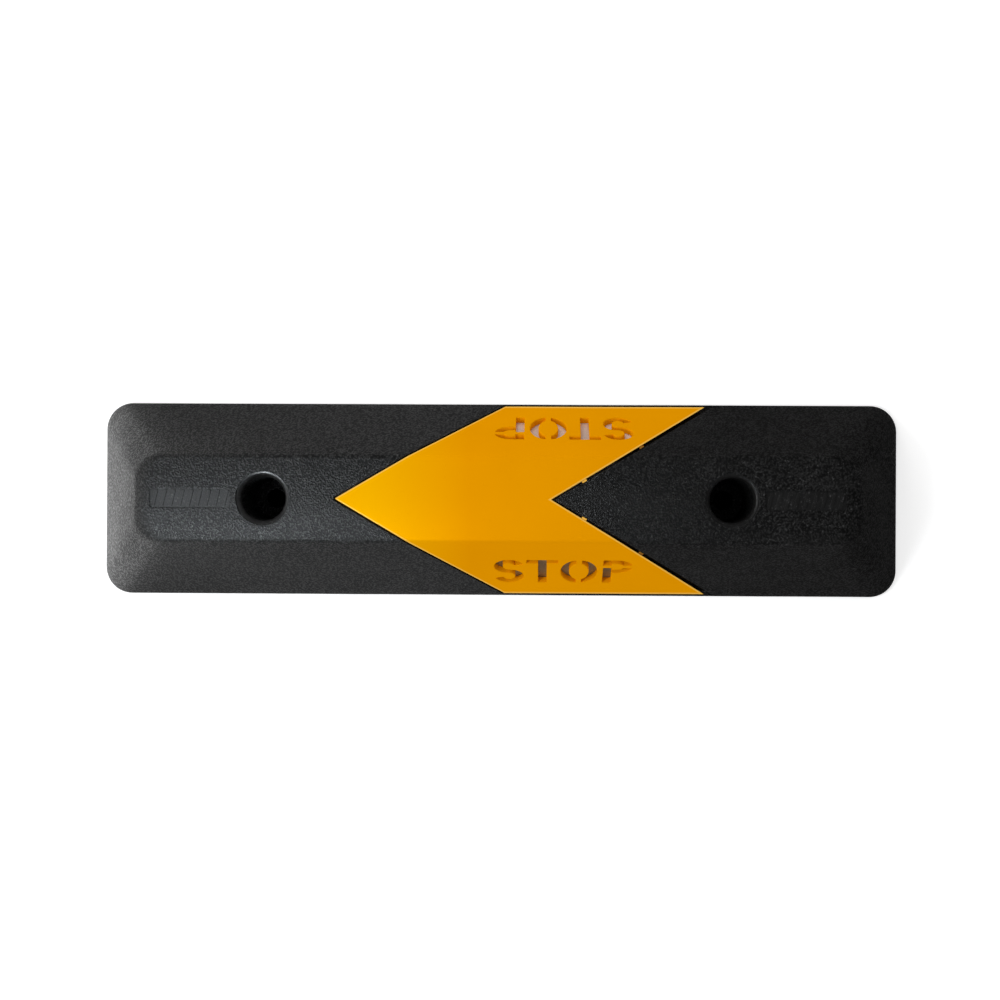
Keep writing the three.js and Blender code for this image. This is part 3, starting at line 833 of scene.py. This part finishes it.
def insert_skin():
    """The insert's surface, before its hooks are joined to it."""
    skin = Skin()
    outline = unrolled(subdivided(chevron_plan(WING_FOOT_Y - FOOT_SET_BACK), 1.5))
    letters = word_outlines(False) + word_outlines(True)
    lugs = [unrolled(subdivided(lug_plan(y, 0), 1)) for y, _ in LUG_PLACES]

    outlines = [outline, *letters, *lugs]
    for share in EDGE_LINES:
        outlines.append(offset(outline, -share * INSERT_EDGE))
        outlines += [offset(letter, share * LETTER_EDGE) for letter in letters]
    fillet_walk = face.walk_to(HALF_WIDTH - filleted_steps(SIDE_FILLET, 12))
    letter_foot = face.walk_down_to(LETTER_FOOT_HEIGHT)
    letter_walk = letter_foot - LETTER_HEIGHT
    shoulder_walk = fillet_walk.max()
    flat_walk = [letter_foot + 6, letter_walk - 6]
    crown_walk = np.linspace(0, fillet_walk.min(), 7)[:-1]
    plan, triangles = triangulate(outlines, insert_lines((*crown_walk, *fillet_walk, *flat_walk)))

    def region_of(points):
        region = np.full(len(points), -1)
        for i, lug in enumerate(lugs):
            region[inside(points, lug)] = i
        region[inside(points, outline)] = SHEET
        for letter in letters:
            region[inside(points, letter)] = -1
        return region

    def placed(points, depth):
        """Points in space at a depth: straight down at the outline, square at the letters."""
        x, s = points.T
        to_outline = distance_to(points, [outline])
        to_letters = distance_to(points, letters)
        squareness = to_outline / np.maximum(to_outline + to_letters, 1e-9)
        squareness *= np.clip((np.abs(s) - shoulder_walk) / (letter_walk - shoulder_walk), 0, 1)
        y = face.set_in(s, squareness * depth)
        profile = core if np.max(depth) > 3 else face
        z = np.maximum(profile.lowered_height(y, depth), INSERT_FOOT_HEIGHT)
        return np.column_stack([x, np.sign(s) * y, z])

    def outer(region, points):
        if region != SHEET:
            return placed(points, LUG_PLACES[region][1])
        depth = edge_drop(distance_to(points, [outline]), INSERT_EDGE)
        height = np.interp(np.abs(face.across(points[:, 1])), face.y, face.z)
        room = 0.8 * (height - INSERT_FOOT_HEIGHT) * math.cos(SLOPE_ANGLE)
        letter_drop = edge_drop(distance_to(points, letters), LETTER_EDGE)
        return placed(points, np.maximum(np.minimum(depth, room), letter_drop))

    def inner(region, points):
        return placed(points, INSERT_THICKNESS if region == SHEET else LUG_BOTTOM)

    open_edges, above = lay_regions(skin, plan, triangles, region_of, outer)
    _, below = lay_regions(skin, plan, triangles, region_of, inner, upwards=False)

    def rise(region, corner):
        """The points under an edge's corner from bottom to top, with those of a lug between."""
        lug = [each for each in above if each != SHEET and corner in above[each]]
        if region != SHEET or not lug:
            return [below[region][corner], above[region][corner]]
        middle = [below[lug[0]][corner], above[lug[0]][corner]]
        return [below[SHEET][corner], *middle, above[SHEET][corner]]

    for region, edges in open_edges.items():
        for a, b in edges:
            skin.faces.append((*rise(region, b), *rise(region, a)[::-1]))
    return skin


def hook(x, y):
    """A leg under the insert with a barb on its outer face."""
    side = math.copysign(1, y)
    top = float(crown_height(y)) - INSERT_THICKNESS + 1
    barb_top = CEILING_HEIGHT - FIT_GAP
    inner_y = y - side * HOOK_THICKNESS / 2
    outer_y = y + side * HOOK_THICKNESS / 2
    tip_y = outer_y + side * BARB_REACH
    outline = [(inner_y, top), (inner_y, HOOK_FOOT_HEIGHT), (outer_y, HOOK_FOOT_HEIGHT)]
    outline += [(tip_y, barb_top - 1), (tip_y, barb_top), (outer_y, barb_top), (outer_y, top)]
    rings = [[(x + end * HOOK_WIDTH / 2, across, up) for across, up in outline] for end in (-1, 1)]
    return loft_object("hook", rings)


# ---- Materials ----

# painted shade: the near black of the grain's valleys
RUBBER_VALLEY = (0.0008, 0.0008, 0.0008, 1)
RUBBER_PEBBLE = (0.0200, 0.0200, 0.0200, 1)
# painted light: the pebbles' lighter tone towards the left end
RUBBER_PAINTED_LIGHT = (0.034, 0.034, 0.0345, 1)
RUBBER_DUST = (0.021, 0.0208, 0.0202, 1)
# painted glints: the pale specks on the rubber
RUBBER_GLINT = (0.085, 0.085, 0.085, 1)
RUBBER_GRAIN = 760.0  # pebbles of the leather grain in a metre, and so for each scale below
RUBBER_PORES = 1300.0

YELLOW_LOW = (0.80, 0.305, 0.0, 1)
YELLOW_HIGH = (0.86, 0.335, 0.0, 1)
# painted light: the yellow brighter at the tip, where the light falls
YELLOW_TIP_PAINTED_LIGHT = (0.93, 0.46, 0.0, 1)
YELLOW_FLECK = (0.70, 0.235, 0.0, 1)
# painted highlight: the pale tone along the insert's edges
YELLOW_EDGE_HIGHLIGHT = (0.97, 0.56, 0.10, 1)
YELLOW_SHEEN = (1, 0.8, 0.1, 1)
EDGE_HIGHLIGHT_FADE = (0.0012, 0.0026)  # where the painted edge highlight starts to fade and where it ends, in metres

# one film in two copies: painted light on the rear strip's, painted shade on the front strip's
FILM_LIT = ((0.80, 0.70, 0.64, 1), (0.95, 0.86, 0.80, 1), (0.5, 0.43, 0.38, 1))
FILM_DIM = ((0.22, 0.15, 0.06, 1), (0.36, 0.26, 0.12, 1), (0.12, 0.08, 0.03, 1))
FILM_BEADS = 1500.0

FLOOR_WHITE = (0.86, 0.86, 0.86, 1)
FLOOR_GLOW = 0.50
# painted shadow: the black of the patch under the bar
PAINTED_SHADOW_BLACK = (0.004, 0.004, 0.004, 1)


class Nodes:
    """Short hand for building a material's node tree in object coordinates (metres)."""

    def __init__(self, name):
        self.material = bpy.data.materials.new(name)
        self.material.use_nodes = True
        self.tree = self.material.node_tree
        self.shader = self.tree.nodes["Principled BSDF"]
        self.place = self.tree.nodes.new("ShaderNodeTexCoord").outputs["Object"]
        self.x, self.y, self.z = self.add("ShaderNodeSeparateXYZ", Vector=self.place).outputs

    def add(self, kind, **inputs):
        node = self.tree.nodes.new(kind)
        for name, value in inputs.items():
            self.feed(node.inputs[name.replace("_", " ")], value)
        return node

    def feed(self, socket, value):
        if isinstance(value, bpy.types.NodeSocket):
            self.tree.links.new(value, socket)
        else:
            socket.default_value = value

    def finish(self, **inputs):
        """Feeds the shader's own sockets and returns the material."""
        for name, value in inputs.items():
            self.feed(self.shader.inputs[name.replace("_", " ")], value)
        return self.material

    def times(self, first, second):
        return self.math("MULTIPLY", first, second)

    def plus(self, first, second):
        return self.math("ADD", first, second)

    def minus(self, first, second):
        return self.math("SUBTRACT", first, second)

    def noise(self, scale, detail=3, roughness=0.5, stretch=None):
        node = self.add("ShaderNodeTexNoise", Scale=scale, Detail=detail, Roughness=roughness)
        self.feed(node.inputs["Vector"], self.stretched(stretch))
        return node.outputs["Fac"]

    def stretched(self, stretch):
        if stretch is None:
            return self.place
        mapping = self.add("ShaderNodeMapping", Vector=self.place, Scale=stretch)
        return mapping.outputs["Vector"]

    def ramp(self, value, low, high, to_low=0.0, to_high=1.0):
        node = self.add("ShaderNodeMapRange", Value=value)
        for i, number in enumerate((low, high, to_low, to_high), 1):
            node.inputs[i].default_value = number
        return node.outputs["Result"]

    def mix(self, share, first, second):
        node = self.tree.nodes.new("ShaderNodeMix")
        node.data_type = "RGBA"
        self.feed(node.inputs[0], share)
        self.feed(node.inputs[6], first)
        self.feed(node.inputs[7], second)
        return node.outputs[2]

    def math(self, operation, first, second=0.0):
        node = self.tree.nodes.new("ShaderNodeMath")
        node.operation = operation
        self.feed(node.inputs[0], first)
        self.feed(node.inputs[1], second)
        return node.outputs[0]

    def bump(self, height, distance, strength=1.0, under=None):
        node = self.add("ShaderNodeBump", Height=height, Distance=distance, Strength=strength)
        if under is not None:
            self.feed(node.inputs["Normal"], under)
        return node.outputs["Normal"]


def on_panel(made):
    """1 on the two grip panels, which the mould leaves smooth, and 0 elsewhere."""
    soft = 0.0003
    middle = (PANEL_START + PANEL_LENGTH / 2) * MM
    half_length = PANEL_LENGTH / 2 * MM
    half_width = PANEL_WIDTH / 2 * MM
    from_middle = made.minus(made.math("ABSOLUTE", made.x), middle)
    along = made.ramp(made.math("ABSOLUTE", from_middle), half_length - soft, half_length, 1.0, 0.0)
    across = made.ramp(made.math("ABSOLUTE", made.y), half_width - soft, half_width, 1.0, 0.0)
    return made.times(along, across)


def on_rim(made):
    """1 on the smooth rims of the anchor holes, and 0 elsewhere."""
    from_middle = made.minus(made.math("ABSOLUTE", made.x), HOLE_OFFSET * MM)
    squares = [made.math("POWER", side, 2.0) for side in (from_middle, made.y)]
    radius = made.math("SQRT", made.plus(*squares))
    around = made.ramp(radius, (RIM_RADIUS - 0.2) * MM, (RIM_RADIUS + 0.3) * MM, 1.0, 0.0)
    bottom = RIM_HEIGHT - RIM_DEPTH
    return made.times(around, made.ramp(made.z, (bottom - 4) * MM, bottom * MM))


def near_edge(made):
    """1 along the insert's outer edges, where a highlight is painted, fading to 0 a little way in."""
    height_share = 0.7  # of a height on the steep wings, to count like a length along the bar
    y = made.math("ABSOLUTE", made.y)
    lead = made.plus(made.times(y, LEADING_SLOPE), TIP_X * MM)
    trail = made.plus(made.times(y, TRAILING_SLOPE), NOTCH_X * MM)
    above_foot = made.minus(made.z, INSERT_FOOT_HEIGHT * MM)
    nearest = made.math("MINIMUM", made.minus(trail, made.x), made.times(above_foot, height_share))
    nearest = made.math("MINIMUM", made.minus(made.x, lead), nearest)
    return made.ramp(nearest, *EDGE_HIGHLIGHT_FADE, 1.0, 0.0)


def rubber_colour(made, pebbles, mottle):
    """Near black in the valleys of the grain (painted shade), greyer on its pebbles, most of all at the
    left (painted light), with painted glints.
    """
    # painted shade: the share of the pebble tone against the near-black valleys of the grain, varied at
    # random by the mottle
    pebble_share = made.times(pebbles, made.ramp(mottle, 0.3, 0.7, 0.45, 1.0))
    # painted light: the pebbles lighter towards the left end, where the light falls
    slanted = made.minus(made.x, made.times(made.y, 0.9))
    top = made.mix(made.ramp(slanted, 0.02, -0.14), RUBBER_PEBBLE, RUBBER_PAINTED_LIGHT)
    tone = made.mix(pebble_share, RUBBER_VALLEY, top)
    smears = made.noise(13.0, 4, 0.6, stretch=(0.6, 2.0, 1.0))
    dusty = made.mix(made.ramp(smears, 0.5, 0.78, 0.0, 0.4), tone, RUBBER_DUST)
    # painted glints: pale specks scattered over the rubber
    painted_glints = made.ramp(made.noise(620.0, 2, 0.6), 0.60, 0.72)
    return made.mix(made.times(painted_glints, 0.65), dusty, RUBBER_GLINT)


def rubber():
    """Black moulded rubber with a leather grain, a little dusty, with painted light, painted shade and
    painted glints.
    """
    made = Nodes("black_rubber")
    rim = on_rim(made)
    flat = made.times(made.math("MAXIMUM", on_panel(made), rim), 0.85)
    grained = made.minus(1.0, flat)

    grain = made.add("ShaderNodeTexVoronoi", Vector=made.stretched((1, 1, 0.6)), Scale=RUBBER_GRAIN)
    grain.feature = "SMOOTH_F1"
    raised = made.times(made.ramp(grain.outputs["Distance"], 0.26, 0.50, 1.0, 0.0), grained)
    pebbles = made.plus(raised, made.times(flat, 0.6))
    mottle = made.noise(42.0, 5, 0.65)
    colour = rubber_colour(made, pebbles, mottle)
    rough = made.plus(made.ramp(mottle, 0.25, 0.75, 0.36, 0.47), made.ramp(pebbles, 0.0, 1.0, 0.2, 0.0))
    rough = made.minus(rough, made.times(rim, 0.15))

    pores = made.times(made.noise(RUBBER_PORES, 3, 0.7), grained)
    lumps = made.bump(made.noise(60.0, 2, 0.5), 0.0003, 0.4)
    pebbled = made.bump(pebbles, 0.00024, 1.0, under=lumps)
    normal = made.bump(pores, 0.00013, 0.8, under=pebbled)
    return made.finish(Base_Color=colour, Roughness=rough, Normal=normal, IOR=1.5)


def yellow_plastic():
    """Yellow moulded plastic, nearly smooth, its sheen the yellow of the pigment, with painted light at
    its tip and a pale painted highlight along its edges.
    """
    made = Nodes("yellow_plastic")
    tone = made.mix(made.ramp(made.noise(9.0, 3, 0.5), 0.3, 0.7), YELLOW_LOW, YELLOW_HIGH)
    # painted light: the yellow brighter towards the tip
    lit = made.mix(made.ramp(made.x, -0.02, -0.09, 0.0, 0.8), tone, YELLOW_TIP_PAINTED_LIGHT)
    flecks = made.ramp(made.noise(240.0, 3, 0.6), 0.62, 0.85, 0.0, 0.25)
    flecked = made.mix(flecks, lit, YELLOW_FLECK)
    # painted highlight: the pale tone along the insert's edges
    edged = made.mix(made.times(near_edge(made), 0.9), flecked, YELLOW_EDGE_HIGHLIGHT)
    peel = made.bump(made.noise(22.0, 2, 0.5), 0.0005, 0.35)
    return made.finish(
        Base_Color=edged,
        Roughness=made.ramp(made.noise(28.0, 4, 0.6), 0.25, 0.8, 0.36, 0.46),
        Normal=made.bump(made.noise(1300.0, 2, 0.5), 0.00005, 0.3, under=peel),
        Metallic=0.1, Specular_IOR_Level=0.0, Specular_Tint=YELLOW_SHEEN,
    )


def reflective_film(name, dim, bright, bead):
    """Beaded reflective film, with the light and shade it gets painted into its colour, for how much of
    the light it faces.
    """
    made = Nodes(name)
    beads = made.add("ShaderNodeTexVoronoi", Vector=made.place, Scale=FILM_BEADS).outputs["Distance"]
    cloud = made.noise(160.0, 3, 0.6)
    tone = made.mix(made.ramp(cloud, 0.3, 0.7), dim, bright)
    beaded = made.mix(made.ramp(beads, 0.15, 0.6, 0.0, 0.5), tone, bead)
    rough = made.ramp(cloud, 0.2, 0.8, 0.30, 0.42)
    normal = made.bump(beads, 0.00006, 0.5)
    return made.finish(Base_Color=beaded, Roughness=rough, Normal=normal, Metallic=0.2)


def pale_floor():
    """The floor, which glows a little so that the bar's shadow on it stays faint."""
    return Nodes("pale_floor").finish(
        Base_Color=FLOOR_WHITE, Roughness=0.9, Specular_IOR_Level=0.1,
        Emission_Color=(1, 1, 1, 1), Emission_Strength=FLOOR_GLOW,
    )


def painted_shadow_patch():
    """A black patch on the ground under the bar, a painted shadow, which shows only through the anchor
    holes.
    """
    return Nodes("painted_shadow_patch").finish(Base_Color=PAINTED_SHADOW_BLACK, Roughness=1.0, Specular_IOR_Level=0.0)


# ---- Assembly ----

SHARP_ANGLE = math.radians(33)  # edges that bend more than this stay sharp


def finish(name, node, made, material):
    """Names a piece, gives it its material and smooth shading, and ties it to the frame."""
    made.name = name
    made.data.name = name
    made.data.materials.clear()
    made.data.materials.append(material)
    made.data.shade_smooth()
    made.data.set_sharp_from_angle(angle=SHARP_ANGLE)
    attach(made, "root")
    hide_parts(node)


body = mesh_object("body_rubber", body_skin().mesh("body_rubber"))
combine(body, hollow(), "DIFFERENCE")
hook_places = [(x, side * y) for x, y in HOOK_PLACES for side in (1, -1)]
for hook_x, hook_y in hook_places:
    half_x = HOOK_WIDTH / 2 + FIT_GAP
    half_y = HOOK_THICKNESS / 2 + FIT_GAP
    slot_low = (hook_x - half_x, hook_y - half_y, CEILING_HEIGHT - 2)
    combine(body, block("slot", slot_low, (hook_x + half_x, hook_y + half_y, HEIGHT + 2)), "DIFFERENCE")
finish("body_rubber", "body", body, rubber())

insert = mesh_object("chevron_plastic", insert_skin().mesh("chevron_plastic"))
for hook_x, hook_y in hook_places:
    combine(insert, hook(hook_x, hook_y), "UNION")
finish("chevron_plastic", "chevron_insert", insert, yellow_plastic())

lit_film = reflective_film("film_lit", *FILM_LIT)
dim_film = reflective_film("film_dim", *FILM_DIM)
# the front strip gets the film with painted shade, the rear strip the one with painted light
for strip_node, film in (("reflective_strip_front", dim_film), ("reflective_strip_rear", lit_film)):
    frame["nodes"][strip_node].data.materials.clear()
    frame["nodes"][strip_node].data.materials.append(film)

# ---- Stage, light and camera ----

SKY_LIGHT = 0.53
GROUND_LIGHT = 1.30
BACKDROP_LIGHT = 0.96
HORIZON = 0.05  # half the height over which the one turns into the other

# (x, strength) of what the bar mirrors: the ground beside it, and the surroundings above
CARD_STOPS = (
    (-0.45, 0.3), (-0.365, 0.45), (-0.345, 1.5), (-0.315, 2.5), (-0.298, 1.3), (-0.285, 0.42),
    (-0.26, 0.25), (-0.22, 0.28), (-0.05, 0.27), (0.1, 0.08), (0.29, 0.07), (0.31, 0.035), (0.5, 0.03),
)
DOME_STOPS = ((-4.0, 2.7), (-3.3, 0.35), (-2.0, 0.1), (0.0, 0.05), (4.0, 0.04))

FLOOR_SIZE = 12
PATCH_SIZE = (0.56, 0.11, 1)

CAMERA_PLACE = (0.0313, -0.0035, 1.479)
CAMERA_TURN = (0.135, 1.209, 0.289)  # degrees from straight down
CAMERA_LENS = 69.8


def plane(name, size, height):
    bpy.ops.mesh.primitive_plane_add(size=size, location=(0, 0, height))
    made = bpy.context.object
    made.name = name
    return made


def stage_floor():
    made = plane("floor", FLOOR_SIZE, -0.0003)
    made.data.materials.append(pale_floor())
    made.visible_glossy = False
    made.visible_diffuse = False
    # painted shadow: a black patch on the ground under the bar
    patch = plane("painted_shadow_patch", 1, -0.0001)
    patch.scale = PATCH_SIZE
    patch.data.materials.append(painted_shadow_patch())


def softbox(name, place, aim, size, power, colour, mirrored=True, lighting=True, spread=180):
    """A soft square lamp. One that isn't mirrored makes no highlights, and one that isn't lighting
    makes nothing else."""
    data = bpy.data.lights.new(name, "AREA")
    data.shape = "RECTANGLE"
    data.size = data.size_y = size
    data.energy = power
    data.color = colour
    data.spread = math.radians(spread)
    made = bpy.data.objects.new(name, data)
    made.location = place
    made.rotation_euler = (Vector(aim) - Vector(place)).to_track_quat("-Z", "Y").to_euler()
    made.visible_glossy = mirrored
    made.visible_diffuse = lighting
    bpy.context.scene.collection.objects.link(made)


def studio_world():
    """White surroundings, brighter below the horizon, that light the scene and aren't mirrored in
    it. The camera sees them as an even backdrop."""
    world = bpy.data.worlds.new("studio")
    bpy.context.scene.world = world
    world.use_nodes = True
    tree = world.node_tree
    background = tree.nodes["Background"]
    background.inputs["Color"].default_value = (1, 1, 1, 1)
    split = tree.nodes.new("ShaderNodeSeparateXYZ")
    tree.links.new(tree.nodes.new("ShaderNodeTexCoord").outputs["Generated"], split.inputs[0])
    height = tree.nodes.new("ShaderNodeMapRange")
    tree.links.new(split.outputs["Z"], height.inputs["Value"])
    for i, number in enumerate((-HORIZON, HORIZON, GROUND_LIGHT, SKY_LIGHT), 1):
        height.inputs[i].default_value = number
    backdrop = tree.nodes.new("ShaderNodeMix")
    seen = tree.nodes.new("ShaderNodeLightPath").outputs["Is Camera Ray"]
    tree.links.new(seen, backdrop.inputs["Factor"])
    tree.links.new(height.outputs["Result"], backdrop.inputs["A"])
    backdrop.inputs["B"].default_value = BACKDROP_LIGHT
    tree.links.new(backdrop.outputs["Result"], background.inputs["Strength"])
    world.cycles_visibility.glossy = False


def mirrored_only(made, strength_of):
    """Makes a stage object that is seen only in reflections, and glows."""
    nodes = Nodes(made.name)
    nodes.tree.nodes.remove(nodes.shader)
    glow = nodes.add("ShaderNodeEmission", Strength=strength_of(nodes))
    nodes.tree.links.new(glow.outputs[0], nodes.tree.nodes["Material Output"].inputs["Surface"])
    made.data.materials.append(nodes.material)
    made.visible_camera = False
    made.visible_diffuse = False
    made.visible_transmission = False
    made.visible_shadow = False


def along_x(nodes, stops):
    """A strength that follows (x, strength) stops along the object's x."""
    total = stops[0][1]
    for (x0, s0), (x1, s1) in zip(stops, stops[1:]):
        total = nodes.plus(nodes.ramp(nodes.x, x0, x1, 0.0, s1 - s0), total)
    return total


def card_strength(nodes):
    """What the bar's sides mirror, a little brighter in front of it than behind."""
    across = nodes.ramp(nodes.y, -0.12, 0.12, 1.15, 0.88)
    return nodes.times(along_x(nodes, CARD_STOPS), across)


def bounce_card():
    """The pale ground as the bar's sides mirror it: bright at the left end, dim at the right."""
    mirrored_only(plane("bounce_card", 4, -0.002), card_strength)


def dim_dome():
    """Dim surroundings above the ground, for a little sheen seen from the side."""
    bpy.ops.mesh.primitive_uv_sphere_add(segments=32, ring_count=16, radius=4)
    bpy.context.object.name = "dome"
    mirrored_only(bpy.context.object, lambda nodes: along_x(nodes, DOME_STOPS))


stage_floor()
studio_world()
bounce_card()
dim_dome()
softbox("window", (-0.45, -0.14, 0.95), (-0.2, 0, 0.1), 0.22, 3.9, (0.94, 0.98, 1), mirrored=False)
softbox("glint", (-0.4, -0.41, 0.9), (-0.21, 0, 0.1), 0.18, 0.54, (0.88, 0.95, 1),
        lighting=False, spread=44)
softbox("rear_fill", (-0.5, 0.9, 0.9), (-0.05, 0, 0.05), 0.6, 3.6, (1, 0.99, 0.97), mirrored=False)

camera = bpy.data.objects.new("camera", bpy.data.cameras.new("camera"))
camera.location = CAMERA_PLACE
camera.rotation_euler = tuple(math.radians(angle) for angle in CAMERA_TURN)
camera.data.lens = CAMERA_LENS
camera.data.clip_start = 0.05
bpy.context.scene.collection.objects.link(camera)
bpy.context.scene.camera = camera
bpy.context.scene.view_settings.view_transform = "Standard"
